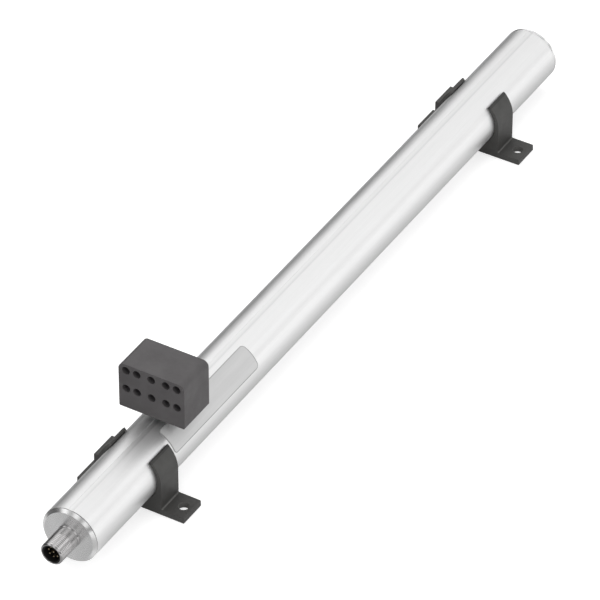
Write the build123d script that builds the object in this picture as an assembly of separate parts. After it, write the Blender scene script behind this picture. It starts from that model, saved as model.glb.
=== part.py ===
from build123d import *
from math import cos, radians, sin, sqrt
import os

# Linear position sensor: a round aluminium housing with a waveguide inside, two clip-on mounting
# clamps and a position magnet that travels above the housing without touching it.
# Millimetres. +Y runs along the housing, away from the plug; +Z is up from the mounting surface.
# The origin is on the mounting surface, under the middle of the overall length.
# "Distance" is counted along the housing from its front face, where the plug stands out.

# Housing tube
tube_radius = 15.0
tube_wall = 2.0
body_length = 445.0
marker_groove_width = 2.6
marker_groove_depth = 0.2
marker_groove_angle = 88.3

# End caps: a flange with a bright bevel closes the tube, and a joint line shows behind it
cap_bevel = 1.7
cap_bevel_depth = 1.3
cap_rim = 0.05
rear_cap_chamfer = 0.25
cap_length = 15.0
cap_clearance = 0.06
joint_gap = 0.1
joint_edge = 0.15
seal_groove_start = 8.0
seal_groove_width = 2.4
seal_groove_depth = 1.8
seal_slack = 0.02

# Plug connector, 12 mm thread size with eight contacts
connector_reach = 15.0
connector_radius = 6.0
connector_chamfer = 0.7
connector_wall = 1.0
connector_cavity = 7.5
collar_wall = 0.65
collar_setback = 0.3
thread_relief_start = 1.6
thread_relief_width = 0.9
thread_relief_depth = 0.6
connector_clearance = 0.05
front_web = 4.0
shoulder_step = 2.0
shoulder_thickness = 2.8
plug_seal_groove_depth = 1.1
plug_seal_groove_margin = 0.6
skirt_step = 1.0
skirt_length = 4.0
retainer_length = 3.0
insert_flange_step = 1.2
insert_flange_thickness = 1.8
insert_seat = 3.5
key_width = 1.2
key_height = 0.8
key_setback = 1.5
pin_radius = 0.4
pin_circle_radius = 2.75
pin_ring_count = 7
pin_setback = 2.0
pin_tail = 0.8
pin_clearance = 0.03
contact_board_margin = 0.4
contact_board_thickness = 1.2

# Flexible lead between the contact board and the circuit board
lead_thickness = 0.3
lead_width = 8.0
lead_bend_radius = 1.2
lead_drop = 2.4
lead_overlap = 4.0

# Circuit board and its carrier
carrier_end_gap = 1.0
board_length = 52.0
board_side_gap = 0.65
board_thickness = 1.6
board_top_height = -2.4
carrier_gap = 0.1
carrier_wall = 1.5
carrier_top_height = -1.0
carrier_overhang = 0.5
rail_width = 3.9
rail_thickness = 3.0
board_screw_radius = 0.8
board_screw_depth = 2.2
board_screw_head_radius = 1.4
board_screw_head = 1.0
board_screw_inset = 1.6
board_screw_end_inset = 3.5
screw_clearance = 0.05

# Parts soldered to the circuit board: place across, distance from the board's start, size
far_row_inset = 9.5
processor_place = (0.0, 23.0)
processor_size = (7.0, 7.0, 1.1)
pulse_driver_place = (5.0, board_length - far_row_inset)
pulse_driver_size = (4.0, 5.0, 1.6)
line_driver_place = (0.0, 9.0)
line_driver_size = (5.0, 5.0, 1.2)
crystal_place = (5.5, 28.0)
crystal_size = (2.5, 3.2, 0.8)
choke_place = (-5.5, 30.5)
choke_size = (6.0, 6.0, 3.4)
capacitor_radius = 2.5
capacitor_height = 5.6
capacitor_base = 0.8
capacitor_places = [(-5.5, 16.0), (-5.5, board_length - far_row_inset), (5.5, 16.0)]
socket_width = 7.0
socket_length = 3.5
socket_height = 3.0
socket_inset = 0.6
head_lead_radius = 0.4
head_lead_spacing = 3.0
head_lead_in_socket = 1.5
head_lead_in_head = 2.0

# Sensing head
waveguide_height = 4.0
head_gap = 5.0
head_margin = 3.0
head_wall_length = 6.0
anchor_inset = 2.0
anchor_length = 6.0
anchor_width = 6.0
shield_inset = 10.0
shield_length = 13.0
shield_side_gap = 0.62
shield_height = 6.1
shield_wall = 0.4
shield_hole_radius = 0.8
coil_size = 5.0
coil_inner_place = 1.6
tape_width = 1.2
tape_thickness = 0.2
tape_inset = 0.18
tape_slot_clearance = 0.25
weld_gap = 0.02
bias_magnet_width = 2.2
bias_magnet_length = 5.0
bias_magnet_height = 4.5
bias_magnet_gap = 0.4

# Waveguide and what carries it
wire_radius = 0.3
wire_clearance = 0.03
sleeve_radius = 2.0
sleeve_bore_radius = 0.55
sleeve_overlap = 2.0
support_count = 5
support_thickness = 4.0
support_relief_height = -8.0
return_wire_radius = 0.6
return_wire_drop = 6.0
return_wire_in_head = 4.0
damper_radius = 4.0
damper_gap = 0.5
damper_length = 21.0
holder_setback = 3.5
holder_length = 12.0
terminal_gap = 0.5
terminal_length = 3.0
terminal_width = 3.0
terminal_margin = 1.5
wire_stub = 1.0
tail_room = 18.0

# Type plate, a thin foil that carries no print
label_thickness = 0.1
label_glue = 0.02
label_start = 70.8
label_length = 76.0
label_low_angle = 16.7
label_high_angle = 71.5
label_corner_radius = 2.2

# Clip-on mounting clamps
clamp_length = 15.4
clamp_clearance = 0.25
clamp_base = 3.35
foot_margin = 4.8
foot_thickness = 3.2
foot_corner_radius = 0.5
foot_root_radius = 0.6
screw_setback = 5.2
screw_hole_radius = 2.75
spring_wall = 2.2
spring_tip = 1.5
spring_flank_drop = 1.0
stiff_wall = 4.55
stiff_wall_rise = 3.4
stiff_jaw = 1.65
stiff_root = 2.55
stiff_flare_angle = 24.0
spring_angle = 45.0
stiff_angle = 48.0
jaw_corner_radius = 2.0
near_clamp_place = 60.5
far_clamp_inset = 58.5

# Position magnet
block_side_margin = 4.15
block_depth = 22.0
block_top_margin = 3.6
block_air_gap = 4.3
block_place = 84.4
block_top_radius = 3.2
block_bottom_radius = 0.7
block_hole_radius = 2.15
block_inner_hole_spacing = 16.0
block_outer_hole_spacing = 28.0
block_row_margin = 4.6
block_row_spacing = 10.8
magnet_size = (12.0, 12.0, 5.0)
magnet_spacing = 14.0
pocket_margin = 1.0
pocket_depth = 7.0

# Places that follow from the sizes above
overall_length = connector_reach + body_length
front_face = connector_reach - overall_length / 2
tube_bore_radius = tube_radius - tube_wall
clamp_bore_radius = tube_radius + clamp_clearance
axis_height = clamp_bore_radius + clamp_base
connector_bore_radius = connector_radius - connector_wall
shoulder_radius = connector_radius + shoulder_step
skirt_radius = connector_radius + skirt_step
insert_flange_radius = connector_bore_radius + insert_flange_step
contact_board_radius = shoulder_radius - contact_board_margin
shoulder_end = front_web + shoulder_thickness
skirt_end = shoulder_end + skirt_length
pocket_radius = shoulder_radius + connector_clearance
plug_seal_floor = shoulder_radius - plug_seal_groove_depth
flange_end = cap_bevel_depth + cap_rim + joint_edge
tube_start = flange_end + joint_gap
insert_flange_start = skirt_end - insert_seat
contact_board_end = skirt_end + contact_board_thickness
fill_radius = tube_bore_radius - carrier_gap
board_start = cap_length + carrier_end_gap + carrier_overhang
board_end = board_start + board_length
board_bottom_height = board_top_height - board_thickness
trough_radius = fill_radius - carrier_wall
board_width = 2 * (sqrt(trough_radius ** 2 - board_bottom_height ** 2) - board_side_gap)
head_start = board_end + carrier_overhang + head_gap
head_base_end = head_start + shield_inset + shield_length + head_margin
head_end = head_base_end + head_wall_length
head_floor_height = waveguide_height - coil_size / 2
shield_top_height = head_floor_height + shield_height
shield_half_width = sqrt(fill_radius ** 2 - shield_top_height ** 2) - shield_side_gap
bias_magnet_side = shield_half_width - shield_wall - bias_magnet_gap
coil_outer_place = bias_magnet_side - bias_magnet_width - bias_magnet_gap
coil_length = coil_outer_place - coil_inner_place
return_wire_height = waveguide_height - return_wire_drop
socket_end = board_end - socket_inset
lead_pair_height = board_top_height + socket_height / 2
coil_middle = head_start + shield_inset + shield_length / 2
wire_end = body_length - cap_length - tail_room
terminal_end = wire_end - wire_stub
terminal_start = terminal_end - terminal_length
damper_end = terminal_start - terminal_gap
damper_start = damper_end - damper_length
holder_start = damper_start + holder_setback
sleeve_start = head_base_end - sleeve_overlap
sleeve_end = damper_start - damper_gap
stiff_side = clamp_bore_radius + stiff_wall
screw_side = stiff_side + screw_setback
foot_end = screw_side + foot_margin
block_low_row = pocket_depth + block_row_margin
block_high_row = block_low_row + block_row_spacing
block_height = block_high_row + block_top_margin
block_width = block_outer_hole_spacing + 2 * block_side_margin
block_bottom_height = tube_radius + block_air_gap
cut_margin = 1.0


def on_axis(x=0.0, distance=0.0, height=0.0):
    """A place beside the tube's axis, at a distance from the front face."""
    return Pos(x, front_face + distance, axis_height + height)


def rod(radius, start, end, x=0.0, height=0.0):
    """A round bar parallel to the tube, between two distances."""
    middle = (start + end) / 2
    return on_axis(x, middle, height) * Rot(90, 0, 0) * Cylinder(radius, end - start)


def block(width, start, end, low, high, x=0.0):
    """A square-edged block between two distances and two heights."""
    size = Box(width, end - start, high - low)
    return on_axis(x, (start + end) / 2, (low + high) / 2) * size


def turned(outline):
    """A piece turned about the tube's axis from points (radius, distance)."""
    section = make_face(Polyline(*outline, close=True))
    return on_axis() * revolve(section, Axis.Y, 360)


def mirrored_end(piece):
    """The same piece at the other end of the tube."""
    middle = front_face + body_length / 2
    return mirror(piece, Plane((0, middle, 0), x_dir=(1, 0, 0), z_dir=(0, 1, 0)))


def round_ring(middle_radius, section_radius, distance):
    """A round seal about the tube's axis."""
    return on_axis(0, distance) * Rot(90, 0, 0) * Torus(middle_radius, section_radius)


# Housing

def housing_tube():
    """A drawn tube with broken edges and one shallow groove along its top."""
    outline = [
        (tube_bore_radius, tube_start),
        (tube_radius - joint_edge, tube_start),
        (tube_radius, tube_start + joint_edge),
    ]
    far_outline = [(radius, body_length - distance) for radius, distance in reversed(outline)]
    tube = turned(outline + far_outline)
    groove = Box(marker_groove_width, body_length + 2 * cut_margin, 2 * marker_groove_depth)
    place = on_axis(0, body_length / 2) * Rot(0, 90 - marker_groove_angle, 0)
    return tube - place * Pos(0, 0, tube_radius) * groove


def cap_outline(inner, bevel, bevel_depth):
    """The outside of a cap, from its face to its end in the tube, after the points of its inside."""
    spigot = tube_bore_radius - cap_clearance
    groove_floor = tube_bore_radius - seal_groove_depth
    groove_end = seal_groove_start + seal_groove_width
    return inner + [
        (tube_radius - bevel, 0),
        (tube_radius, bevel_depth),
        (tube_radius, flange_end - joint_edge),
        (tube_radius - joint_edge, flange_end),
        (spigot, flange_end),
        (spigot, seal_groove_start),
        (groove_floor, seal_groove_start),
        (groove_floor, groove_end),
        (spigot, groove_end),
        (spigot, cap_length),
    ]


def front_cap():
    hole = connector_radius + connector_clearance
    inside = [(pocket_radius, cap_length), (pocket_radius, front_web), (hole, front_web), (hole, 0)]
    return turned(cap_outline(inside, cap_bevel, cap_bevel_depth))


def rear_cap():
    hollow = pocket_radius
    inside = [(hollow, cap_length), (hollow, front_web), (0, front_web), (0, 0)]
    return mirrored_end(turned(cap_outline(inside, rear_cap_chamfer, rear_cap_chamfer)))


def cap_seal():
    section = seal_groove_depth / 2 - seal_slack
    middle = tube_bore_radius - seal_groove_depth / 2
    return round_ring(middle, section, seal_groove_start + seal_groove_width / 2)


def label_plate():
    """A foil with round corners, wrapped on the tube between two angles."""
    inner = tube_radius + label_glue
    start = label_start
    end = label_start + label_length
    shell = rod(inner + label_thickness, start, end) - rod(inner, start, end)
    half_angle = (label_high_angle - label_low_angle) / 2
    chord = 2 * inner * sin(radians(half_angle))
    outline = RectangleRounded(chord, label_length, label_corner_radius)
    cutter = extrude(outline, tube_radius + 2 * cut_margin)
    middle_angle = (label_high_angle + label_low_angle) / 2
    place = on_axis(0, (start + end) / 2) * Rot(0, 90 - middle_angle, 0)
    return shell & (place * cutter)


# Plug connector

def connector_shell():
    relief_floor = connector_radius - thread_relief_depth
    relief_end = thread_relief_start - thread_relief_width
    groove_start = front_web + plug_seal_groove_margin
    groove_end = shoulder_end - plug_seal_groove_margin
    rear_bore = insert_flange_radius + connector_clearance
    return turned([
        (connector_bore_radius, -connector_reach),
        (connector_radius - connector_chamfer, -connector_reach),
        (connector_radius, connector_chamfer - connector_reach),
        (connector_radius, -thread_relief_start),
        (relief_floor, -thread_relief_start),
        (relief_floor, -relief_end),
        (connector_radius, -relief_end),
        (connector_radius, front_web),
        (shoulder_radius, front_web),
        (shoulder_radius, groove_start),
        (plug_seal_floor, groove_start),
        (plug_seal_floor, groove_end),
        (shoulder_radius, groove_end),
        (shoulder_radius, shoulder_end),
        (skirt_radius, shoulder_end),
        (skirt_radius, skirt_end),
        (rear_bore, skirt_end),
        (rear_bore, insert_flange_start),
        (connector_bore_radius, insert_flange_start),
    ])


def connector_seal():
    section = (pocket_radius - plug_seal_floor) / 2 - seal_slack
    middle = (pocket_radius + plug_seal_floor) / 2
    return round_ring(middle, section, front_web + shoulder_thickness / 2)


def connector_retainer():
    start = shoulder_end
    end = shoulder_end + retainer_length
    return rod(shoulder_radius, start, end) - rod(skirt_radius + connector_clearance, start, end)


def pin_places():
    """Across and up from the axis: one contact in the middle and a ring about it."""
    step = 360 / pin_ring_count
    angles = [90 + step / 2 + step * index for index in range(pin_ring_count)]
    ring = [(pin_circle_radius * cos(radians(a)), pin_circle_radius * sin(radians(a))) for a in angles]
    return [(0.0, 0.0)] + ring


def pin_holes(start, end):
    radius = pin_radius + pin_clearance
    return [rod(radius, start, end, x, height) for x, height in pin_places()]


def contact_pins():
    start = pin_setback - connector_reach
    end = contact_board_end + pin_tail
    pins = []
    for x, height in pin_places():
        pin = rod(pin_radius, start, end, x, height)
        tip = pin.edges().group_by(Axis.Y)[0]
        pins.append(fillet(tip, pin_radius / 2))
    return Compound(children=pins)


def connector_insert():
    """The contacts' holder, with a thin collar that lines the mouth of the shell, and a key."""
    radius = connector_bore_radius - connector_clearance
    room = radius - collar_wall
    face = connector_cavity - connector_reach
    collar_start = collar_setback - connector_reach
    flange_end = insert_flange_start + insert_flange_thickness
    body = rod(radius, collar_start, insert_flange_start)
    body = body + rod(insert_flange_radius, insert_flange_start, flange_end)
    body = body - rod(room, collar_start - cut_margin, face)
    key_start = key_setback - connector_reach
    key = block(key_width, key_start, face + cut_margin, room - key_height, radius + cut_margin)
    body = body + (key & rod(radius, key_start, face + cut_margin))
    return body - pin_holes(face - cut_margin, flange_end + cut_margin)


def contact_board():
    board = rod(contact_board_radius, skirt_end, contact_board_end)
    return board - pin_holes(skirt_end - cut_margin, contact_board_end + cut_margin)


def flexible_lead():
    """A flat lead that lies on the contact board, bends, and runs under the circuit board."""
    near = contact_board_end + lead_thickness / 2
    level = board_bottom_height - lead_thickness / 2
    end = board_start + lead_overlap
    low = level - lead_drop
    corner = [(near, low), (near, level), (end, level)]
    points = [(0, front_face + distance, axis_height + height) for distance, height in corner]
    path = FilletPolyline(*points, radius=lead_bend_radius)
    start = Plane(points[0], x_dir=(1, 0, 0), z_dir=(0, 0, 1))
    return sweep(start * Rectangle(lead_width, lead_thickness), path)


# Electronics

def screw_places():
    """Two screws, in opposite corners of the board."""
    side = board_width / 2 - board_screw_inset
    near = board_start + board_screw_end_inset
    far = board_end - board_screw_end_inset
    return [(-side, near), (side, far)]


def upright(radius, x, distance, low, high):
    """A round bar that stands up."""
    return on_axis(x, distance, (low + high) / 2) * Cylinder(radius, high - low)


def circuit_board():
    board = block(board_width, board_start, board_end, board_bottom_height, board_top_height)
    radius = board_screw_radius + screw_clearance
    low = board_bottom_height - cut_margin
    high = board_top_height + cut_margin
    return board - [upright(radius, x, distance, low, high) for x, distance in screw_places()]


def board_carrier():
    """A half-round trough with a rail on each side under the board."""
    start = board_start - carrier_overhang
    end = board_end + carrier_overhang
    trough = rod(fill_radius, start, end) - rod(trough_radius, start, end)
    rails = []
    for side in (-1, 1):
        middle = side * (board_width / 2 - rail_width / 2 + carrier_wall / 2)
        width = rail_width + carrier_wall
        low = board_bottom_height - rail_thickness
        rails.append(block(width, start, end, low, board_bottom_height, middle))
    carrier = trough + (rod(fill_radius, start, end) & rails)
    reach = fill_radius + cut_margin
    carrier = carrier - block(2 * reach, start, end, carrier_top_height, reach)
    radius = board_screw_radius + screw_clearance
    low = board_bottom_height - board_screw_depth - screw_clearance
    return carrier - [upright(radius, x, d, low, board_bottom_height) for x, d in screw_places()]


def board_screws():
    screws = []
    for x, distance in screw_places():
        low = board_bottom_height - board_screw_depth
        shank = upright(board_screw_radius, x, distance, low, board_top_height)
        top = board_top_height + board_screw_head
        screws.append(shank + upright(board_screw_head_radius, x, distance, board_top_height, top))
    return Compound(children=screws)


def chip(place, size):
    """A soldered part with a square-edged case."""
    x, offset = place
    width, length, height = size
    middle = board_start + offset
    low = board_top_height
    return block(width, middle - length / 2, middle + length / 2, low, low + height, x)


def storage_capacitors():
    cans = []
    for x, offset in capacitor_places:
        foot = chip((x, offset), (2 * capacitor_radius, 2 * capacitor_radius, capacitor_base))
        low = board_top_height + capacitor_base
        high = board_top_height + capacitor_height
        cans.append(foot + upright(capacitor_radius, x, board_start + offset, low, high))
    return Compound(children=cans)


def lead_pair(radius, start, end):
    side = head_lead_spacing / 2
    return [rod(radius, start, end, x, lead_pair_height) for x in (-side, side)]


def head_socket():
    start = socket_end - socket_length
    high = board_top_height + socket_height
    socket = block(socket_width, start, socket_end, board_top_height, high)
    mouth = socket_end - head_lead_in_socket
    return socket - lead_pair(head_lead_radius + wire_clearance, mouth, socket_end + cut_margin)


def head_leads():
    start = socket_end - head_lead_in_socket
    return Compound(children=lead_pair(head_lead_radius, start, head_start + head_lead_in_head))


# Sensing head

def head_block():
    """A flat-topped bed for the pickup, ending in a wall that holds the sleeve."""
    bed = rod(fill_radius, head_start, head_base_end)
    bed = bed - block(4 * fill_radius, head_start, head_base_end, head_floor_height, 2 * fill_radius)
    wall = rod(fill_radius, head_base_end, head_end)
    body = bed + wall
    leads = lead_pair(head_lead_radius + wire_clearance, head_start - cut_margin, head_start + head_lead_in_head)
    sleeve = rod(sleeve_radius + wire_clearance, head_base_end, head_end, 0, waveguide_height)
    wire_start = head_end - return_wire_in_head
    wire = rod(return_wire_radius + wire_clearance, wire_start, head_end, 0, return_wire_height)
    return body - leads - sleeve - wire


def wire_anchor():
    start = head_start + anchor_inset
    end = start + anchor_length
    high = head_floor_height + coil_size
    body = block(anchor_width, start, end, head_floor_height, high)
    return body - rod(wire_radius + wire_clearance, start, end, 0, waveguide_height)


def shield_can():
    start = head_start + shield_inset
    end = start + shield_length
    width = 2 * shield_half_width
    outside = block(width, start, end, head_floor_height, shield_top_height)
    room = block(
        width - 2 * shield_wall,
        start + shield_wall,
        end - shield_wall,
        head_floor_height - cut_margin,
        shield_top_height - shield_wall,
    )
    return outside - room - rod(shield_hole_radius, start, end, 0, waveguide_height)


def both_sides(piece):
    """A piece and its twin on the other side of the waveguide."""
    return Compound(children=[piece, mirror(piece, Plane.YZ)])


def pickup_coils():
    half = coil_size / 2
    middle = coil_inner_place + coil_length / 2
    low = waveguide_height - half
    body = block(coil_length, coil_middle - half, coil_middle + half, low, low + coil_size, middle)
    slot_half = tape_width / 2 + tape_slot_clearance
    slot_rise = tape_thickness / 2 + tape_slot_clearance
    slot = block(
        coil_length,
        coil_middle - slot_half,
        coil_middle + slot_half,
        waveguide_height - slot_rise,
        waveguide_height + slot_rise,
        middle,
    )
    return both_sides(body - slot)


def pickup_tapes():
    inner = wire_radius + weld_gap
    length = coil_outer_place - tape_inset - inner
    low = waveguide_height - tape_thickness / 2
    high = waveguide_height + tape_thickness / 2
    half = tape_width / 2
    middle = inner + length / 2
    return both_sides(block(length, coil_middle - half, coil_middle + half, low, high, middle))


def bias_magnets():
    middle = bias_magnet_side - bias_magnet_width / 2
    start = coil_middle - bias_magnet_length / 2
    end = coil_middle + bias_magnet_length / 2
    high = head_floor_height + bias_magnet_height
    return both_sides(block(bias_magnet_width, start, end, head_floor_height, high, middle))


# Waveguide

def waveguide_wire():
    return rod(wire_radius, head_start + anchor_inset, wire_end, 0, waveguide_height)


def waveguide_sleeve():
    outside = rod(sleeve_radius, sleeve_start, sleeve_end, 0, waveguide_height)
    return outside - rod(sleeve_bore_radius, sleeve_start, sleeve_end, 0, waveguide_height)


def return_conductor():
    start = head_end - return_wire_in_head
    return rod(return_wire_radius, start, wire_end, 0, return_wire_height)


def wire_hole(start, end):
    return rod(return_wire_radius + wire_clearance, start, end, 0, return_wire_height)


def waveguide_supports():
    """Discs at even spaces between the sensing head and the end holder."""
    discs = []
    spacing = (holder_start - head_end) / (support_count + 1)
    for index in range(support_count):
        start = head_end + spacing * (index + 1) - support_thickness / 2
        end = start + support_thickness
        disc = rod(fill_radius, start, end)
        disc = disc - rod(sleeve_radius + wire_clearance, start, end, 0, waveguide_height)
        disc = disc - wire_hole(start, end)
        relief = block(4 * fill_radius, start, end, -2 * fill_radius, support_relief_height)
        discs.append(disc - relief)
    return Compound(children=discs)


def damping_element():
    outside = rod(damper_radius, damper_start, damper_end, 0, waveguide_height)
    return outside - rod(wire_radius + wire_clearance, damper_start, damper_end, 0, waveguide_height)


def end_holder():
    end = holder_start + holder_length
    disc = rod(fill_radius, holder_start, end) - wire_hole(holder_start, end)
    return disc - rod(damper_radius + wire_clearance, holder_start, end, 0, waveguide_height)


def end_terminal():
    low = return_wire_height - terminal_margin
    high = waveguide_height + terminal_margin
    plate = block(terminal_width, terminal_start, terminal_end, low, high)
    plate = plate - rod(wire_radius + wire_clearance, terminal_start, terminal_end, 0, waveguide_height)
    return plate - wire_hole(terminal_start, terminal_end)


# Mounting clamps

def left_point(radius, angle):
    """A point on the left of the tube's axis, at an angle above the horizontal."""
    return (-radius * cos(radians(angle)), radius * sin(radians(angle)))


def clamp_profile():
    """The section of a clamp, across and up from the tube's axis, seen from the plug end."""
    bore = clamp_bore_radius
    angle = radians(spring_angle)
    ground = -axis_height
    foot_top = ground + foot_thickness
    spring_side = bore + spring_wall
    tip_outer = ((bore + spring_tip) * cos(angle), (bore + spring_tip) * sin(angle))
    tip_inner = (bore * cos(angle), bore * sin(angle))
    sink = spring_side - tip_outer[0]
    climb = tip_outer[1] + spring_flank_drop
    flank_radius = (sink ** 2 + climb ** 2) / (2 * sink)
    turn = climb / flank_radius
    flank_middle = (
        spring_side - flank_radius + flank_radius * sqrt(1 - turn ** 2 / 4),
        -spring_flank_drop + flank_radius * turn / 2,
    )
    jaw_outer = bore + stiff_jaw
    jaw_tip_outer = left_point(jaw_outer, stiff_angle)
    jaw_tip_inner = left_point(bore, stiff_angle)
    jaw_middle = left_point(jaw_outer, (stiff_angle + stiff_flare_angle) / 2)
    jaw_flare = left_point(jaw_outer, stiff_flare_angle)
    ledge_inner = (-sqrt((bore + stiff_root) ** 2 - stiff_wall_rise ** 2), stiff_wall_rise)
    spring_base = (spring_side, foot_top)
    stiff_base = (-stiff_side, foot_top)
    foot_corners = [(foot_end, foot_top), (-foot_end, foot_top)]
    ledge_outer = (-stiff_side, stiff_wall_rise)
    lines = [
        Polyline((-foot_end, ground), (foot_end, ground), foot_corners[0], spring_base,
                 (spring_side, -spring_flank_drop)),
        ThreePointArc((spring_side, -spring_flank_drop), flank_middle, tip_outer),
        Line(tip_outer, tip_inner),
        ThreePointArc(tip_inner, (0, -bore), jaw_tip_inner),
        Line(jaw_tip_inner, jaw_tip_outer),
        ThreePointArc(jaw_tip_outer, jaw_middle, jaw_flare),
        Polyline(jaw_flare, ledge_inner, ledge_outer, stiff_base, foot_corners[1], (-foot_end, ground)),
    ]
    section = make_face(Curve() + lines)
    rounded = [
        ([tip_outer, tip_inner], 0.45 * spring_tip),
        ([jaw_tip_outer, jaw_tip_inner], 0.45 * stiff_jaw),
        ([spring_base, stiff_base], foot_root_radius),
        (foot_corners + [ledge_outer], foot_corner_radius),
    ]
    for points, radius in rounded:
        corners = [section.vertices().sort_by_distance((x, z, 0))[0] for x, z in points]
        section = fillet(corners, radius)
    return section


def jaw_corner(end, inward):
    """What rounds a corner of the stiff jaw's tip, at one end of the clamp."""
    radius = jaw_corner_radius
    square = Box(2 * radius, 2 * radius, clamp_length)
    corner = square - Pos(-radius, inward * radius, 0) * Cylinder(radius, clamp_length)
    tip_place = on_axis(0, end) * Rot(0, stiff_angle - 90, 0) * Pos(0, 0, clamp_bore_radius)
    return tip_place * corner


def clamp(distance):
    """A clamp about the tube, with a screw hole in each foot."""
    end = Plane((0, front_face + distance + clamp_length / 2, axis_height), x_dir=(1, 0, 0), z_dir=(0, -1, 0))
    body = extrude(end * clamp_profile(), clamp_length)
    body = body - jaw_corner(distance - clamp_length / 2, 1) - jaw_corner(distance + clamp_length / 2, -1)
    low = -axis_height - cut_margin
    high = low + foot_thickness + 2 * cut_margin
    return body - [upright(screw_hole_radius, x, distance, low, high) for x in (-screw_side, screw_side)]


# Position magnet

def block_hole_places():
    """Across from the middle, and up from the underside of the block."""
    inner = block_inner_hole_spacing / 2
    outer = block_outer_hole_spacing / 2
    rows = (block_low_row, block_high_row)
    return [(x, row) for row in rows for x in (-outer, -inner, 0.0, inner, outer)]


def pocket():
    """The room for the magnets in the underside of the block."""
    width = magnet_spacing + magnet_size[0] + 2 * pocket_margin
    half = magnet_size[1] / 2 + pocket_margin
    low = block_bottom_height
    return block(width, block_place - half, block_place + half, low, low + pocket_depth)


def magnet_block():
    start = block_place - block_depth / 2
    end = block_place + block_depth / 2
    low = block_bottom_height
    body = block(block_width, start, end, low, low + block_height)
    long_edges = body.edges().filter_by(Axis.Y).group_by(Axis.Z)
    body = fillet(long_edges[-1], block_top_radius)
    body = fillet(body.edges().filter_by(Axis.Y).group_by(Axis.Z)[0], block_bottom_radius)
    holes = [rod(block_hole_radius, start, end, x, low + up) for x, up in block_hole_places()]
    return body - holes - pocket()


def position_magnets():
    width, length, height = magnet_size
    high = block_bottom_height + pocket_depth
    start = block_place - length / 2
    side = magnet_spacing / 2
    bars = [block(width, start, start + length, high - height, high, x) for x in (-side, side)]
    return Compound(children=bars)


def magnet_potting():
    return pocket() - position_magnets().solids()


far_clamp_place = body_length - far_clamp_inset

pieces = {
    "housing_tube": housing_tube(),
    "front_cap": front_cap(),
    "rear_cap": rear_cap(),
    "front_cap_seal": cap_seal(),
    "rear_cap_seal": mirrored_end(cap_seal()),
    "label_plate": label_plate(),
    "connector_shell": connector_shell(),
    "connector_seal": connector_seal(),
    "connector_retainer": connector_retainer(),
    "connector_insert": connector_insert(),
    "contact_pins": contact_pins(),
    "contact_board": contact_board(),
    "flexible_lead": flexible_lead(),
    "circuit_board": circuit_board(),
    "board_carrier": board_carrier(),
    "board_screws": board_screws(),
    "signal_processor": chip(processor_place, processor_size),
    "pulse_driver": chip(pulse_driver_place, pulse_driver_size),
    "line_driver": chip(line_driver_place, line_driver_size),
    "clock_crystal": chip(crystal_place, crystal_size),
    "choke_coil": chip(choke_place, choke_size),
    "storage_capacitors": storage_capacitors(),
    "head_socket": head_socket(),
    "head_leads": head_leads(),
    "head_block": head_block(),
    "wire_anchor": wire_anchor(),
    "shield_can": shield_can(),
    "pickup_coils": pickup_coils(),
    "pickup_tapes": pickup_tapes(),
    "bias_magnets": bias_magnets(),
    "waveguide_wire": waveguide_wire(),
    "waveguide_sleeve": waveguide_sleeve(),
    "return_conductor": return_conductor(),
    "waveguide_supports": waveguide_supports(),
    "damping_element": damping_element(),
    "end_holder": end_holder(),
    "end_terminal": end_terminal(),
    "near_clamp": clamp(near_clamp_place),
    "far_clamp": clamp(far_clamp_place),
    "magnet_block": magnet_block(),
    "position_magnets": position_magnets(),
    "magnet_potting": magnet_potting(),
}

os.makedirs("parts", exist_ok=True)
for name, piece in pieces.items():
    export_step(piece, f"parts/{name}.step")
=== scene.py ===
import math
import bpy
import bmesh
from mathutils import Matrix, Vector


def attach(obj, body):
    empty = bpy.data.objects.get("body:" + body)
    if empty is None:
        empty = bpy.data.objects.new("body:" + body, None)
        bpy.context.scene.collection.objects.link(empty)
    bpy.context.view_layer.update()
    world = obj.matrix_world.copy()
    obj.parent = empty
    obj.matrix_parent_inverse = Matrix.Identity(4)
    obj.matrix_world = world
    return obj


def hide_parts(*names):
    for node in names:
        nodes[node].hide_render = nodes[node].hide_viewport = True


# linear position sensor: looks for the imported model, in metres
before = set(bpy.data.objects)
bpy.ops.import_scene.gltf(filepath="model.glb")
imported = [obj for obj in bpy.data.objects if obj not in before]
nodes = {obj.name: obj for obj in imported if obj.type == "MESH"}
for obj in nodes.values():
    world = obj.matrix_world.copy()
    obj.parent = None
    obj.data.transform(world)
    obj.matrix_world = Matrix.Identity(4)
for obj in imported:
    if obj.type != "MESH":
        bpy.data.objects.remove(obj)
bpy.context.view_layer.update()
mm = 0.001
print("loaded", len(nodes), "nodes")


# lowest and highest corner of a solid, in its own coordinates
def boxOf(name):
    points = [vertex.co for vertex in nodes[name].data.vertices]
    low, high = [Vector([pick(point[i] for point in points) for i in range(3)]) for pick in (min, max)]
    return low, high


def middleOf(name):
    low, high = boxOf(name)
    return (low + high) / 2


axisZ = middleOf("front_cap").z     # height of the tube's axis
faceY = boxOf("front_cap")[0].y     # front face of the housing, distances count from here


# material building

def newFinish(name, colour, rough, metal=0.0):
    mat = bpy.data.materials.new(name)
    mat.use_nodes = True
    shader = mat.node_tree.nodes["Principled BSDF"]
    shader.inputs["Base Color"].default_value = (*colour, 1)
    shader.inputs["Roughness"].default_value = rough
    shader.inputs["Metallic"].default_value = metal
    return mat, shader


def link(mat, out, to):
    mat.node_tree.links.new(out, to)


def addNode(mat, kind, **settings):
    node = mat.node_tree.nodes.new(kind)
    for key, value in settings.items():
        setattr(node, key, value)
    return node


# place on the object, where a small number for along draws a grain out lengthwise
def placeIn(mat, along=1):
    coord = addNode(mat, "ShaderNodeTexCoord")
    mapping = addNode(mat, "ShaderNodeMapping")
    mapping.inputs["Scale"].default_value = (1, along, 1)
    link(mat, coord.outputs["Object"], mapping.inputs["Vector"])
    return mapping.outputs["Vector"]


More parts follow.
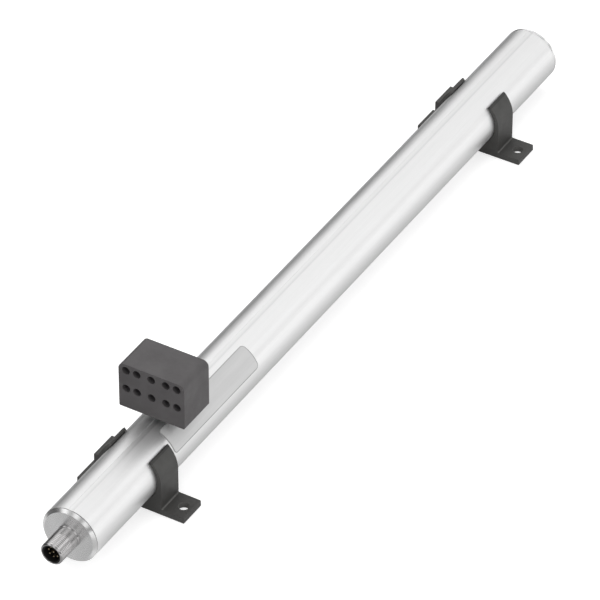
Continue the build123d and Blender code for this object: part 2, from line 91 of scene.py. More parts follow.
def objectXYZ(mat):
    coord = addNode(mat, "ShaderNodeTexCoord")
    split = addNode(mat, "ShaderNodeSeparateXYZ")
    link(mat, coord.outputs["Object"], split.inputs["Vector"])
    return split.outputs


def addNoise(mat, vector, scale, detail=3, rough=0.5):
    node = addNode(mat, "ShaderNodeTexNoise")
    node.inputs["Scale"].default_value = scale
    node.inputs["Detail"].default_value = detail
    node.inputs["Roughness"].default_value = rough
    link(mat, vector, node.inputs["Vector"])
    return node.outputs["Fac"]


# a value moved to a new range; noise lies between 0.3 and 0.7 for the most part
def remap(mat, value, low, high, fromLow=0.3, fromHigh=0.7):
    node = addNode(mat, "ShaderNodeMapRange")
    node.inputs["From Min"].default_value = fromLow
    node.inputs["From Max"].default_value = fromHigh
    node.inputs["To Min"].default_value = low
    node.inputs["To Max"].default_value = high
    link(mat, value, node.inputs["Value"])
    return node.outputs["Result"]


def mathOf(mat, operation, a, b=None):
    node = addNode(mat, "ShaderNodeMath", operation=operation)
    for socket, value in zip(node.inputs, (a, b)):
        if value is None:
            continue
        if isinstance(value, (int, float)):
            socket.default_value = value
        else:
            link(mat, value, socket)
    return node.outputs["Value"]


def lengthOf(mat, a, b):
    squares = [mathOf(mat, "MULTIPLY", side, side) for side in (a, b)]
    return mathOf(mat, "SQRT", mathOf(mat, "ADD", *squares))


def inMm(mat, metres):
    return mathOf(mat, "MULTIPLY", metres, 1 / mm)


def inDegrees(mat, up, across):
    return mathOf(mat, "MULTIPLY", mathOf(mat, "ARCTAN2", up, across), 180 / math.pi)


def tintBy(mat, value, dark, light):
    mix = addNode(mat, "ShaderNodeMix", data_type="RGBA")
    mix.inputs["A"].default_value = (*dark, 1)
    mix.inputs["B"].default_value = (*light, 1)
    link(mat, value, mix.inputs["Factor"])
    return mix.outputs["Result"]


def shade(grey):
    return (grey, grey, grey)


def greyBy(mat, value, dark, light):
    return tintBy(mat, value, shade(dark), shade(light))


def mixTints(mat, value, a, b):
    mix = addNode(mat, "ShaderNodeMix", data_type="RGBA")
    link(mat, a, mix.inputs["A"])
    link(mat, b, mix.inputs["B"])
    link(mat, value, mix.inputs["Factor"])
    return mix.outputs["Result"]


def timesTint(mat, a, b):
    mix = addNode(mat, "ShaderNodeMix", data_type="RGBA", blend_type="MULTIPLY")
    mix.inputs["Factor"].default_value = 1.0
    link(mat, a, mix.inputs["A"])
    link(mat, b, mix.inputs["B"])
    return mix.outputs["Result"]


# a grey that follows a value by stops of (value, brightness), with no brightness over 1
def rampOf(mat, stops, value):
    low, high = stops[0][0], stops[-1][0]
    ramp = addNode(mat, "ShaderNodeValToRGB")
    ramp.color_ramp.interpolation = "EASE"
    points = ramp.color_ramp.elements
    while len(points) < len(stops):
        points.new(0.5)
    for point, (at, bright) in zip(points, stops):
        point.position = (at - low) / (high - low)
        point.color = (*shade(bright), 1)
    link(mat, remap(mat, value, 0, 1, low, high), ramp.inputs["Fac"])
    return ramp.outputs["Color"]


# bump on the shader's normal: strength and depth in metres, edge rounds sharp corners by that radius
def addBump(mat, shader, height, bump, edge=0.0):
    node = addNode(mat, "ShaderNodeBump")
    node.inputs["Strength"].default_value, node.inputs["Distance"].default_value = bump
    link(mat, height, node.inputs["Height"])
    if edge:
        bevel = addNode(mat, "ShaderNodeBevel", samples=6)
        bevel.inputs["Radius"].default_value = edge
        link(mat, bevel.outputs["Normal"], node.inputs["Normal"])
    link(mat, node.outputs["Normal"], shader.inputs["Normal"])


def aboveAxis(mat, xyz):
    return mathOf(mat, "SUBTRACT", xyz["Z"], axisZ)


# degrees round the tube, from the right over the top
def degreesRound(mat):
    xyz = objectXYZ(mat)
    return inDegrees(mat, aboveAxis(mat, xyz), xyz["X"])


# distance behind the front face of the housing, in mm
def fromFace(mat):
    return inMm(mat, mathOf(mat, "SUBTRACT", objectXYZ(mat)["Y"], faceY))


def dress(names, mat):
    for name in names:
        materials = nodes[name].data.materials
        materials.clear()
        materials.append(mat)


jointShadeGreys = (0.08, 0.10)       # painted shade: the dark line in the joint between the front cap and the tube


# housing tube: satin anodised, drawn lengthwise, with painted reflection bands and painted shade in its
# groove and front joint
tubeLook = {
    "greys": (0.943, 0.98),
    "streakGreys": (0.975, 1.0),
    "metal": 0.93,
    "rough": (0.41, 0.45),
    "grainScale": 2600,
    "grainAlong": 0.012,
    "streakScale": 420,
    "streakAlong": 0.002,
    "cloudScale": 60,
    "bump": (0.05, 0.0002),
    "edge": 0.00012,
    "jointTo": 1.66,        # mm from the front face, the painted joint shade lies before it
    "jointSoft": 0.1,
    "paintedReflectionBands": [        # degrees round the tube, brightness: painted reflection bands, darker on the flanks, that meet the photo's
        (-50, 0.79), (-32, 0.80), (-15, 0.935), (15, 0.945), (25, 0.965), (35, 1.0), (45, 0.98),
        (54, 0.965), (64, 0.975), (75, 0.945), (90, 0.92), (110, 0.94), (118, 0.935), (125, 0.81),
        (133, 0.935), (150, 0.94),
    ],
    "paintedGrooveShade": [(82, 1.0), (84, 0.86), (86, 0.87), (88, 0.94), (92, 0.95), (94, 1.0)],     # likewise, painted shade in the marker groove
}


def tubeFinish():
    look = tubeLook
    mat, shader = newFinish("satinAnodised", shade(look["greys"][1]), look["rough"][1], look["metal"])
    grain = addNoise(mat, placeIn(mat, look["grainAlong"]), look["grainScale"], detail=4)
    streak = addNoise(mat, placeIn(mat, look["streakAlong"]), look["streakScale"], detail=2)
    cloud = addNoise(mat, placeIn(mat), look["cloudScale"])
    link(mat, remap(mat, cloud, *look["rough"]), shader.inputs["Roughness"])
    fine = greyBy(mat, remap(mat, grain, 0, 1), *look["greys"])
    broad = greyBy(mat, remap(mat, streak, 0, 1), *look["streakGreys"])
    # painted reflection bands and painted groove shade, multiplied into the anodised grain
    turned = degreesRound(mat)
    shades = [rampOf(mat, look[key], turned) for key in ("paintedReflectionBands", "paintedGrooveShade")]
    anodisedWithPaintedShade = timesTint(mat, timesTint(mat, fine, broad), timesTint(mat, *shades))
    # painted shade in the joint with the front cap
    clear = remap(mat, fromFace(mat), 0, 1, look["jointTo"], look["jointTo"] + look["jointSoft"])
    dark = greyBy(mat, grain, *jointShadeGreys)
    link(mat, mixTints(mat, clear, dark, anodisedWithPaintedShade), shader.inputs["Base Color"])
    addBump(mat, shader, grain, look["bump"], look["edge"])
    return mat


dress(["housing_tube"], tubeFinish())
print("housing tube dressed")


# end caps: matt turned face, bright turned bevel round it
capLook = {
    "faceGreys": (0.8265, 0.8961),
    "bevelGreys": (0.873, 0.90),
    "bevelFrom": 0.01325,       # metres from the axis
    "bevelSoft": 0.0001,
    "jointFrom": 1.34,      # mm from the front face, the painted joint shade lies between these two
    "jointTo": 1.60,
    "jointSoft": 0.05,
    "faceRough": (0.24, 0.33),
    "bevelRough": 0.16,
    "metal": 0.95,
    "ringScale": 7000,
    "ringDetail": 2,
    "cloudScale": 140,
    "bump": (0.07, 0.00005),
    "edge": 0.0001,
}


# noise in rings about the axis, by the distance from it
def turnedRings(mat, reach):
    ring = addNode(mat, "ShaderNodeTexNoise", noise_dimensions="1D")
    ring.inputs["Scale"].default_value = capLook["ringScale"]
    ring.inputs["Detail"].default_value = capLook["ringDetail"]
    link(mat, reach, ring.inputs["W"])
    return ring.outputs["Fac"]


def capFinish():
    look = capLook
    mat, shader = newFinish("turnedCap", shade(look["faceGreys"][1]), look["faceRough"][0], look["metal"])
    xyz = objectXYZ(mat)
    reach = lengthOf(mat, xyz["X"], aboveAxis(mat, xyz))
    onBevel = remap(mat, reach, 0, 1, look["bevelFrom"], look["bevelFrom"] + look["bevelSoft"])
    ring = turnedRings(mat, reach)
    cloud = addNoise(mat, placeIn(mat), look["cloudScale"])
    face, bevel = [greyBy(mat, remap(mat, cloud, 0, 1), *look[key]) for key in ("faceGreys", "bevelGreys")]
    # painted shade in the joint, on the front cap's rim next to the tube
    depth, soft = fromFace(mat), look["jointSoft"]
    pastBevel = remap(mat, depth, 0, 1, look["jointFrom"] - soft, look["jointFrom"] + soft)
    beforeTube = remap(mat, depth, 1, 0, look["jointTo"], look["jointTo"] + soft)
    inJoint = mathOf(mat, "MULTIPLY", pastBevel, beforeTube)
    metal = mixTints(mat, onBevel, face, bevel)
    dark = greyBy(mat, cloud, *jointShadeGreys)
    link(mat, mixTints(mat, inJoint, metal, dark), shader.inputs["Base Color"])
    rough = addNode(mat, "ShaderNodeMix", data_type="FLOAT")
    link(mat, onBevel, rough.inputs["Factor"])
    link(mat, remap(mat, ring, *look["faceRough"]), rough.inputs["A"])
    rough.inputs["B"].default_value = look["bevelRough"]
    link(mat, rough.outputs["Result"], shader.inputs["Roughness"])
    addBump(mat, shader, ring, look["bump"], look["edge"])
    return mat


dress(["front_cap", "rear_cap"], capFinish())
print("caps dressed")


# moulded plastics: clamps, magnet block and the plug's insert
mouldLook = {
    "clamp": {
        "dark": (0.045, 0.044, 0.042), "light": (0.058, 0.057, 0.054), "rough": (0.46, 0.58),
        "grainScale": 5200, "edge": 0.0003, "gloss": 0.5,
    },
    "magnetBlock": {
        "dark": (0.076, 0.071, 0.073), "light": (0.095, 0.090, 0.092), "rough": (0.44, 0.56),
        "grainScale": 4200, "edge": 0.0003, "gloss": 0.4,
    },
    "contactInsert": {
        "dark": (0.007, 0.007, 0.007), "light": (0.012, 0.012, 0.012), "rough": (0.45, 0.55),
        "grainScale": 6000, "edge": 0.0001, "gloss": 0.25,
    },
    "cloudScale": 90,       # this and what follows is the same on all three
    "cloudRough": 0.6,
    "bump": (0.22, 0.00008),
}

# painted light on a clamp: lighter walls in the screw holes' shade, a painted highlight on the foot
# fillets, painted shade on the lip tips
clampPaintedLight = {
    "paintedHoleLight": 2.0,       # times the clamp's own colour: painted light on the shaded walls of the screw holes
    "screwAcross": 0.025,       # metres from the middle
    "holeEdge": (0.00278, 0.00284),     # metres from the screw's axis, the painted light fades between these
    # painted highlight on the fillet between each wall and foot, also times the clamp's own colour
    "paintedRootHighlight": 2.05,
    "rootAcross": [     # mm across from the tube, strength
        (-20.6, 0), (-20.3, 1), (-19.9, 1), (-19.6, 0), (17.3, 0), (17.55, 1), (17.95, 1), (18.2, 0),
    ],
    "rootHeight": [(3.0, 0), (3.25, 1), (3.7, 1), (3.95, 0)],       # mm from the ground, strength
    "paintedTipShade": [(38.6, 1.0), (40.4, 0.5), (48, 0.5), (60, 1.0)],      # degrees round the tube, brightness: painted shade on the tips of the spring lips
}


# where a highlight is painted: 1 on the fillet between each jaw's wall and its foot, 0 elsewhere
def inFootRoot(mat):
    xyz = objectXYZ(mat)
    wide = rampOf(mat, clampPaintedLight["rootAcross"], inMm(mat, xyz["X"]))
    high = rampOf(mat, clampPaintedLight["rootHeight"], inMm(mat, xyz["Z"]))
    return timesTint(mat, wide, high)


# where light is painted: 1 on the walls of the four screw holes in the feet, 0 elsewhere
def inScrewHole(mat):
    xyz = objectXYZ(mat)
    nearY, farY = middleOf("near_clamp").y, middleOf("far_clamp").y
    outX = mathOf(mat, "SUBTRACT", mathOf(mat, "ABSOLUTE", xyz["X"]), clampPaintedLight["screwAcross"])
    fromMiddle = mathOf(mat, "SUBTRACT", xyz["Y"], (nearY + farY) / 2)
    outY = mathOf(mat, "SUBTRACT", mathOf(mat, "ABSOLUTE", fromMiddle), (farY - nearY) / 2)
    return remap(mat, lengthOf(mat, outX, outY), 1, 0, *clampPaintedLight["holeEdge"])


# painted light, highlight and shade on the clamp's colour, by the masks above
def paintClampLight(mat, value, colour):
    for place, key in ((inScrewHole(mat), "paintedHoleLight"), (inFootRoot(mat), "paintedRootHighlight")):
        tones = [mouldLook["clamp"][tone] for tone in ("dark", "light")]
        dark, light = [[clampPaintedLight[key] * part for part in tone] for tone in tones]
        colour = mixTints(mat, place, colour, tintBy(mat, value, dark, light))
    return timesTint(mat, colour, rampOf(mat, clampPaintedLight["paintedTipShade"], degreesRound(mat)))


def mouldFinish(key):
    look = mouldLook[key]
    mat, shader = newFinish(key + "Plastic", look["light"], look["rough"][1])
    shader.inputs["Specular IOR Level"].default_value = look["gloss"]
    here = placeIn(mat)
    grain = addNoise(mat, here, look["grainScale"], detail=2)
    cloud = addNoise(mat, here, mouldLook["cloudScale"], detail=4, rough=mouldLook["cloudRough"])
    value = remap(mat, cloud, 0, 1)
    colour = tintBy(mat, value, look["dark"], look["light"])
    if key == "clamp":
        colour = paintClampLight(mat, value, colour)
    link(mat, colour, shader.inputs["Base Color"])
    smooth, coarse = look["rough"]
    link(mat, remap(mat, cloud, coarse, smooth), shader.inputs["Roughness"])
    addBump(mat, shader, grain, mouldLook["bump"], look["edge"])
    return mat


dress(["near_clamp", "far_clamp"], mouldFinish("clamp"))
dress(["magnet_block"], mouldFinish("magnetBlock"))
dress(["connector_insert"], mouldFinish("contactInsert"))
print("plastics dressed")


# type plate: thin satin foil with a fine darker edge of painted shade
plateLook = {
    "colour": 0.69,
    "waver": (0.94, 1.05),      # shares of the colour
    "paintedShadeAcross": [(17, 1.0), (44, 0.95), (71, 0.86)],        # degrees round the tube, brightness: painted shade, darker towards the foil's upper edge
    "edgeShadeGreys": (0.38, 0.40),
    "edgeWidth": 0.50,      # mm, as are the next four
    "edgeSoft": 0.1,
    "radius": 15.1,
    "halfWidth": 7.22,
    "corner": 2.2,
    "middle": 44.1,     # degrees round the tube, the middle of the foil's arc
    "rough": (0.41, 0.49),
    "metal": 0.30,
    "grainScale": 900,
    "grainAlong": 0.05,
    "bandScale": 160,
    "bandAlong": 0.01,
    "bump": (0.03, 0.0001),
}


# how far a point of the foil lies outside its outline, in mm, below zero inside
def plateDistance(mat):
    look = plateLook
    low, high = boxOf("label_plate")
    xyz = objectXYZ(mat)
    turned = mathOf(mat, "ARCTAN2", aboveAxis(mat, xyz), xyz["X"])
    fromMiddle = mathOf(mat, "SUBTRACT", turned, math.radians(look["middle"]))
    arc = mathOf(mat, "MULTIPLY", fromMiddle, look["radius"])
    run = inMm(mat, mathOf(mat, "SUBTRACT", xyz["Y"], (low.y + high.y) / 2))
    halfLength = (high.y - low.y) / 2 / mm
    outArc = mathOf(mat, "SUBTRACT", mathOf(mat, "ABSOLUTE", arc), look["halfWidth"] - look["corner"])
    outRun = mathOf(mat, "SUBTRACT", mathOf(mat, "ABSOLUTE", run), halfLength - look["corner"])
    cornerReach = lengthOf(mat, mathOf(mat, "MAXIMUM", outArc, 0.0), mathOf(mat, "MAXIMUM", outRun, 0.0))
    inside = mathOf(mat, "MINIMUM", mathOf(mat, "MAXIMUM", outArc, outRun), 0.0)
    return mathOf(mat, "SUBTRACT", mathOf(mat, "ADD", cornerReach, inside), look["corner"])


def plateFinish():
    look = plateLook
    mat, shader = newFinish("plateFoil", shade(look["colour"]), look["rough"][1], look["metal"])
    grain = addNoise(mat, placeIn(mat, look["grainAlong"]), look["grainScale"])
    band = addNoise(mat, placeIn(mat, look["bandAlong"]), look["bandScale"], detail=2)
    both = mathOf(mat, "MULTIPLY", mathOf(mat, "ADD", grain, band), 0.5)
    greys = [look["colour"] * share for share in look["waver"]]
    foil = greyBy(mat, remap(mat, both, 0, 1), *greys)
    # painted shade across the foil
    foil = timesTint(mat, foil, rampOf(mat, look["paintedShadeAcross"], degreesRound(mat)))
    # painted shade along the foil's edge
    width, soft = look["edgeWidth"], look["edgeSoft"]
    nearEdge = remap(mat, plateDistance(mat), 0, 1, -width - soft, -width + soft)
    rim = greyBy(mat, grain, *look["edgeShadeGreys"])
    link(mat, mixTints(mat, nearEdge, foil, rim), shader.inputs["Base Color"])
    link(mat, remap(mat, grain, *look["rough"]), shader.inputs["Roughness"])
    addBump(mat, shader, grain, look["bump"])
    return mat


dress(["label_plate"], plateFinish())
print("type plate dressed")


# plug shell: nickel plated, with its fine thread, lengths in mm
plugShell = {
    "outline": [    # radius and distance from the front face, from the thread's end round to the mouth
        (6.0, -1.4), (5.88, -1.25), (5.88, -0.95), (6.0, -0.8), (6.0, 4.0), (8.0, 4.0), (8.0, 4.6),
        (6.9, 4.6), (6.9, 6.2), (8.0, 6.2), (8.0, 6.8), (7.0, 6.8), (7.0, 10.8), (6.25, 10.8),
        (6.25, 7.3), (5.0, 7.3), (5.0, -14.92), (5.08, -15.0), (5.26, -15.0), (5.36, -14.95),
    ],
    "crest": 6.0,
    "threadDepth": 0.11,
    "rootWidth": 0.10,      # shares of half the pitch, this one and the next
    "flankWidth": 0.24,
    "pitch": 1.0,
    "threadFrom": -14.3,
    "threadTo": -2.1,
    "fadeIn": 0.6,
    "fadeOut": 0.8,
    "stepsPerTurn": 16,
    "around": 96,
    "sharpAngle": 50,       # degrees
}


def threadRadius(turn, distance):
    look = plugShell
    phase = (distance / look["pitch"] - turn) % 1.0
    flank = abs(phase - 0.5) * 2        # 0 in the root, 1 on the crest
    lift = min(1.0, max(0.0, (flank - look["rootWidth"]) / look["flankWidth"]))
    fadeIn = min(1.0, (distance - look["threadFrom"]) / look["fadeIn"])
    fadeOut = min(1.0, (look["threadTo"] - distance) / look["fadeOut"])
    depth = look["threadDepth"] * max(0.0, min(fadeIn, fadeOut))
    return look["crest"] - depth * (1 - lift)


# each ring's distance from the front face and its radii, the thread first
def shellSections():
    look = plugShell
    around, length = look["around"], look["threadTo"] - look["threadFrom"]
    steps = int(length / look["pitch"] * look["stepsPerTurn"])
    sections = []
    for i in range(steps + 1):
        distance = look["threadFrom"] + length * i / steps
        sections.append((distance, [threadRadius(j / around, distance) for j in range(around)]))
    return sections + [(distance, [radius] * around) for radius, distance in look["outline"]]


def makePlugShell():
    around = plugShell["around"]
    mesh = bmesh.new()
    rings = []
    for distance, radii in shellSections():
        ring = []
        for i, radius in enumerate(radii):
            turned = 2 * math.pi * (i / around)
            across, up = radius * mm * math.cos(turned), radius * mm * math.sin(turned)
            ring.append(mesh.verts.new((across, faceY + distance * mm, axisZ + up)))
        rings.append(ring)
    for ring, following in zip(rings, rings[1:] + rings[:1]):
        for i in range(around):
            j = (i + 1) % around
            mesh.faces.new((ring[i], ring[j], following[j], following[i]))
    bmesh.ops.recalc_face_normals(mesh, faces=mesh.faces)
    data = bpy.data.meshes.new("plug_shell_threaded")
    mesh.to_mesh(data)
    mesh.free()
    for face in data.polygons:
        face.use_smooth = True
    shell = bpy.data.objects.new("plug_shell_threaded", data)
    bpy.context.scene.collection.objects.link(shell)
    edges = shell.modifiers.new("sharpEdges", "EDGE_SPLIT")
    edges.split_angle = math.radians(plugShell["sharpAngle"])
    return shell


platedLook = {
    "dark": (0.51, 0.50, 0.50),
    "light": (0.56, 0.55, 0.55),
    "rough": (0.07, 0.11),
    "metal": 1.0,
    "cloudScale": 500,
    "bump": (0.04, 0.00005),
}


def platedFinish():
    look = platedLook
    mat, shader = newFinish("nickelPlate", look["light"], look["rough"][1], look["metal"])
    cloud = addNoise(mat, placeIn(mat), look["cloudScale"])
    colour = tintBy(mat, remap(mat, cloud, 0, 1), look["dark"], look["light"])
    link(mat, colour, shader.inputs["Base Color"])
    link(mat, remap(mat, cloud, *look["rough"]), shader.inputs["Roughness"])
    addBump(mat, shader, cloud, look["bump"])
    return mat


plated = platedFinish()
shell = makePlugShell()
shell.data.materials.append(plated)
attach(shell, "sensor")
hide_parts("connector_shell")
dress(["connector_retainer", "wire_anchor", "end_terminal"], plated)
print("plug shell made:", len(shell.data.polygons), "faces")


# inner pieces and small metal parts, one table of plain finishes
innerLook = {
    "goldContact": {
        "names": ["contact_pins", "head_leads"],
        "colour": (0.66, 0.55, 0.38), "rough": 0.34, "metal": 1.0, "scale": 900,
    },
    "sealRubber": {
        "names": ["front_cap_seal", "rear_cap_seal", "connector_seal"],
        "colour": (0.02, 0.02, 0.02), "rough": 0.7, "metal": 0.0, "scale": 700,
    },
    "solderMask": {
        "names": ["contact_board", "circuit_board"],
        "colour": (0.02, 0.14, 0.06), "rough": 0.35, "metal": 0.0, "scale": 400,
    },
    "leadFilm": {
        "names": ["flexible_lead"],
        "colour": (0.48, 0.20, 0.03), "rough": 0.3, "metal": 0.0, "scale": 300,
    },
    "innerMoulding": {
        "names": ["board_carrier", "head_block", "waveguide_supports", "end_holder"],
        "colour": (0.58, 0.55, 0.48), "rough": 0.5, "metal": 0.0, "scale": 200,
    },
    "plainSteel": {
        "names": ["board_screws", "clock_crystal", "shield_can", "pickup_tapes", "waveguide_wire"],
        "colour": (0.60, 0.60, 0.61), "rough": 0.3, "metal": 1.0, "scale": 500,
    },
    "chipCase": {
        "names": ["signal_processor", "pulse_driver", "line_driver", "choke_coil"],
        "colour": (0.02, 0.02, 0.022), "rough": 0.45, "metal": 0.0, "scale": 1500,
    },
    "canMetal": {
        "names": ["storage_capacitors"],
        "colour": (0.75, 0.75, 0.77), "rough": 0.25, "metal": 1.0, "scale": 600,
    },
    "socketNylon": {
        "names": ["head_socket"],
        "colour": (0.68, 0.63, 0.48), "rough": 0.45, "metal": 0.0, "scale": 400,
    },
    "coilCopper": {
        "names": ["pickup_coils", "return_conductor"],
        "colour": (0.60, 0.25, 0.12), "rough": 0.35, "metal": 1.0, "scale": 2500,
    },
    "ferrite": {
        "names": ["bias_magnets", "position_magnets"],
        "colour": (0.07, 0.07, 0.075), "rough": 0.55, "metal": 0.0, "scale": 800,
    },
    "sleeveTube": {
        "names": ["waveguide_sleeve"],
        "colour": (0.75, 0.75, 0.70), "rough": 0.4, "metal": 0.0, "scale": 300,
    },
    "damperRubber": {
        "names": ["damping_element"],
        "colour": (0.04, 0.04, 0.04), "rough": 0.8, "metal": 0.0, "scale": 500,
    },
    "pottingResin": {
        "names": ["magnet_potting"],
        "colour": (0.025, 0.025, 0.027), "rough": 0.3, "metal": 0.0, "scale": 180,
    },
}

# how far these finishes waver, as shares of the values above
innerWaver = {"colour": (0.82, 1.1), "rough": (0.9, 1.15), "bump": (0.1, 0.0001)}


def innerFinish(name, look):
    mat, shader = newFinish(name, look["colour"], look["rough"], look["metal"])
    cloud = addNoise(mat, placeIn(mat), look["scale"])
    dark, light = [[min(1, share * part) for part in look["colour"]] for share in innerWaver["colour"]]
    link(mat, tintBy(mat, remap(mat, cloud, 0, 1), dark, light), shader.inputs["Base Color"])
    smooth, coarse = [look["rough"] * share for share in innerWaver["rough"]]
    link(mat, remap(mat, cloud, smooth, coarse), shader.inputs["Roughness"])
    addBump(mat, shader, cloud, innerWaver["bump"])
    return mat


for name, look in innerLook.items():
    dress(look["names"], innerFinish(name, look))
print("inner pieces dressed")


# studio: floor, world and soft lamps
studio = {
    "floorColour": 0.74,
    "floorRough": 0.9,
    "floorGlow": 0.60,
    "floorHalf": 12,
    "floorDrop": 0.0002,        # below the feet
    "worldFill": 0.50,
    "lamps": [      # name, place, target, size, watts
        ("overheadLamp", (-0.4, 0.1, 2.4), (0, 0, 0), 2.4, 23),
        ("sideLamp", (2.2, -0.9, 1.3), (0, 0, 0), 1.4, 15),
        ("frontLamp", (-0.5, -2.4, 0.8), (0, 0, 0), 1.6, 9),
    ],
}


def makePlane(name, corners, faces=((0, 1, 2, 3),)):
    mesh = bpy.data.meshes.new(name)
    mesh.from_pydata(corners, [], faces)
    obj = bpy.data.objects.new(name, mesh)
    bpy.context.scene.collection.objects.link(obj)
    return obj


# 1 where the camera looks, straight, mirrored or through, and 0 for the light that falls on things
def isSeen(mat):
    path = addNode(mat, "ShaderNodeLightPath")
    direct = mathOf(mat, "MAXIMUM", path.outputs["Is Camera Ray"], path.outputs["Is Glossy Ray"])
    return mathOf(mat, "MAXIMUM", direct, path.outputs["Is Transmission Ray"])


def makeFloor():
    half = studio["floorHalf"]
    floor = makePlane("floor", [(-half, -half, 0), (half, -half, 0), (half, half, 0), (-half, half, 0)])
    floor.location.z = -studio["floorDrop"]
    mat, shader = newFinish("paleFloor", shade(studio["floorColour"]), studio["floorRough"])
    shader.inputs["Specular IOR Level"].default_value = 0.0
    shader.inputs["Emission Color"].default_value = (1, 1, 1, 1)
    link(mat, mathOf(mat, "MULTIPLY", isSeen(mat), studio["floorGlow"]), shader.inputs["Emission Strength"])
    floor.data.materials.append(mat)


def makeWorld():
    world = bpy.data.worlds.new("studioWorld")
    bpy.context.scene.world = world
    world.use_nodes = True
    background = world.node_tree.nodes["Background"]
    background.inputs["Color"].default_value = (1, 1, 1, 1)
    link(world, remap(world, isSeen(world), studio["worldFill"], 1, 0, 1), background.inputs["Strength"])


def aimAt(obj, target):
    way = Vector(target) - obj.location
    obj.rotation_euler = way.to_track_quat("-Z", "Y").to_euler()


def makeLamps():
    for name, place, target, size, watts in studio["lamps"]:
        data = bpy.data.lights.new(name, "AREA")
        data.shape = "DISK"
        data.size = size
        data.energy = watts
        lamp = bpy.data.objects.new(name, data)
        lamp.location = place
        lamp.visible_glossy = False     # the strips stand for the lamps in reflections
        bpy.context.scene.collection.objects.link(lamp)
        aimAt(lamp, target)


# what only reflections show: a half cylinder of strip lights, and a glowing sheet that paints the shaded
# floor's reflection, in metres
mirrored = {
    "radius": 0.9,
    "length": 6.0,
    "steps": 60,
    "glow": 2.0,
    "floorDrop": 0.0001,
    "floorUsual": 0.64,     # the brightness in floorAlong that leaves the floor's shades as they are
    "plugSideFrom": (-0.2, 0.2),        # metres along, where one set of strips turns into the next
    "farEndFrom": (0.606, 0.68),
    "farFloorFrom": (-0.232, -0.212),
    "plugEndStrips": [      # angle up from the right horizon, brightness
        (0, 0.34), (5, 0.20), (10, 0.24), (17, 0.50), (25, 0.80), (33, 0.92), (42, 0.90), (50, 0.74),
        (58, 0.47), (66, 0.35), (74, 0.35), (81, 0.54), (89, 0.84), (97, 0.98), (105, 0.97), (112, 0.72),
        (118, 0.47), (125, 0.40), (131, 0.52), (136, 0.88), (141, 1.14), (148, 1.16), (152, 1.0),
        (157, 0.52), (162, 0.22), (168, 0.10), (180, 0.08),
    ],
    "plugSideStrips": [
        (0, 1.29), (6, 1.27), (14, 0.94), (22, 0.55), (30, 0.50), (37, 1.08), (44, 1.55), (52, 1.22),
        (60, 0.76), (66, 0.74), (76, 1.08), (88, 1.22), (96, 0.94), (102, 0.80), (108, 0.90), (116, 1.24),
        (128, 1.40), (137, 1.42), (144, 1.04), (152, 0.68), (162, 0.28), (172, 0.10), (180, 0.04),
    ],
    "farEndStrips": [
        (0, 1.22), (10, 1.18), (19, 0.76), (29, 0.72), (36, 1.04), (44, 1.22), (54, 1.16), (60, 0.90),
        (69, 0.90), (78, 1.06), (91, 1.06), (97, 0.94), (104, 0.94), (111, 1.02), (120, 1.20), (138, 1.24),
        (148, 1.14), (154, 0.82), (161, 0.34), (170, 0.09), (180, 0.04),
    ],
    "stripsAlong": [(0.60, 1.0), (0.80, 0.955), (0.92, 0.90), (1.10, 0.78)],    # metres along, brightness
    "plugEndFloor": [       # metres across from the tube, brightness
        (-0.30, 0.10), (-0.12, 0.14), (-0.055, 0.30), (-0.022, 0.54), (-0.008, 0.56), (0.004, 0.42),
        (0.013, 0.43), (0.022, 0.46), (0.035, 0.52), (0.07, 0.84), (0.14, 1.04), (0.24, 0.98), (0.40, 0.36),
        (0.60, 0.30),
    ],
    "farEndFloor": [
        (-0.30, 0.04), (-0.14, 0.05), (-0.085, 0.32), (-0.05, 0.46), (-0.02, 0.30), (0.008, 0.28),
        (0.018, 0.50), (0.026, 0.58), (0.035, 0.64), (0.07, 0.90), (0.14, 1.12), (0.30, 1.20),
    ],
    "floorAlong": [     # metres along, brightness: lightest where the plug's flank sees it
        (-0.240, 0.64), (-0.228, 0.66), (-0.217, 1.0), (-0.204, 1.0), (-0.197, 0.66), (-0.180, 0.64),
    ],
}


# a surface that only glows, by a colour made of its own nodes
def glowFinish(name, colourOf, strength):
    mat = bpy.data.materials.new(name)
    mat.use_nodes = True
    mat.node_tree.nodes.clear()
    glow = addNode(mat, "ShaderNodeEmission")
    glow.inputs["Strength"].default_value = strength
    link(mat, colourOf(mat), glow.inputs["Color"])
    out = addNode(mat, "ShaderNodeOutputMaterial")
    link(mat, glow.outputs["Emission"], out.inputs["Surface"])
    return mat


# stops over 1 are brought under it here, and the glow's strength makes up for that
def glowRamp(mat, key, value):
    return rampOf(mat, [(at, bright / mirrored["glow"]) for at, bright in mirrored[key]], value)


def stripColour(mat):
    xyz = objectXYZ(mat)
    angle = inDegrees(mat, xyz["Z"], xyz["X"])
    keys = ("plugEndStrips", "plugSideStrips", "farEndStrips")
    before, beside, beyond = [glowRamp(mat, key, angle) for key in keys]
    plugHalf = mixTints(mat, remap(mat, xyz["Y"], 0, 1, *mirrored["plugSideFrom"]), before, beside)
    whole = mixTints(mat, remap(mat, xyz["Y"], 0, 1, *mirrored["farEndFrom"]), plugHalf, beyond)
    return timesTint(mat, whole, rampOf(mat, mirrored["stripsAlong"], xyz["Y"]))


# painted reflection of the floor with its shade: darker left of the tube and close beside it
def floorColour(mat):
    xyz = objectXYZ(mat)
    before, beyond = [glowRamp(mat, key, xyz["X"]) for key in ("plugEndFloor", "farEndFloor")]
    across = mixTints(mat, remap(mat, xyz["Y"], 0, 1, *mirrored["farFloorFrom"]), before, beyond)
    return timesTint(mat, across, rampOf(mat, mirrored["floorAlong"], xyz["Y"]))


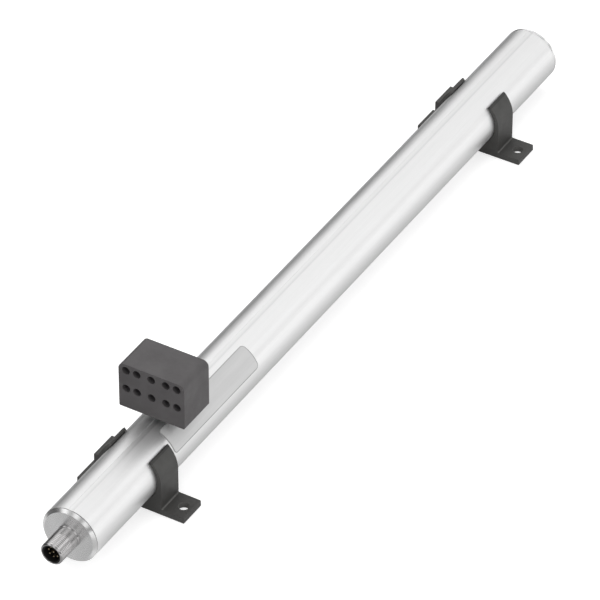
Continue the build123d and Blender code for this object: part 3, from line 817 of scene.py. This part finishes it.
def onlyReflected(obj):
    obj.visible_camera = False
    obj.visible_diffuse = False
    obj.visible_transmission = False
    obj.visible_shadow = False
    obj.visible_volume_scatter = False


def makeReflections():
    radius, half, steps = mirrored["radius"], mirrored["length"] / 2, mirrored["steps"]
    corners = []
    for i in range(steps + 1):
        angle = math.pi * i / steps
        x, z = radius * math.cos(angle), radius * math.sin(angle)
        corners += [(x, -half, z), (x, half, z)]
    faces = [(i, i + 1, i + 3, i + 2) for i in range(0, 2 * steps, 2)]
    strips = makePlane("strip_lights", corners, faces)
    strips.data.materials.append(glowFinish("stripGlow", stripColour, mirrored["glow"]))
    onlyReflected(strips)
    corners = [(-radius, -half, 0), (radius, -half, 0), (radius, half, 0), (-radius, half, 0)]
    below = makePlane("floor_seen_in_metal", corners)
    below.location.z = -mirrored["floorDrop"]
    strength = mirrored["glow"] / mirrored["floorUsual"]
    below.data.materials.append(glowFinish("floorShade", floorColour, strength))
    onlyReflected(below)


makeFloor()
makeReflections()
makeWorld()
makeLamps()
print("studio set")


# camera where the photograph was taken from, in degrees and metres, lens and film in mm
cameraPlace = {
    "azimuth": 30.7823,
    "elevation": 38.5481,
    "distance": 2.54257,
    "right": -0.01215,
    "up": -0.01538,
    "aim": (0, 0.0184, 0.0186),
    "lens": 308.63,
    "filmWidth": 36,
    "clipEnd": 50,
}


def makeCamera():
    place = cameraPlace
    turn, rise = math.radians(place["azimuth"]), math.radians(place["elevation"])
    back = Vector((math.sin(turn) * math.cos(rise), -math.cos(turn) * math.cos(rise), math.sin(rise)))
    right = Vector((math.cos(turn), math.sin(turn), 0))
    up = back.cross(right)
    data = bpy.data.cameras.new("photoCamera")
    data.lens = place["lens"]
    data.sensor_width = place["filmWidth"]
    data.clip_end = place["clipEnd"]
    camera = bpy.data.objects.new("photoCamera", data)
    aside = right * place["right"] + up * place["up"]
    camera.location = Vector(place["aim"]) + back * place["distance"] + aside
    camera.rotation_euler = back.to_track_quat("Z", "Y").to_euler()
    bpy.context.scene.collection.objects.link(camera)
    bpy.context.scene.camera = camera


makeCamera()
bpy.context.scene.view_settings.view_transform = "Standard"
print("camera set")
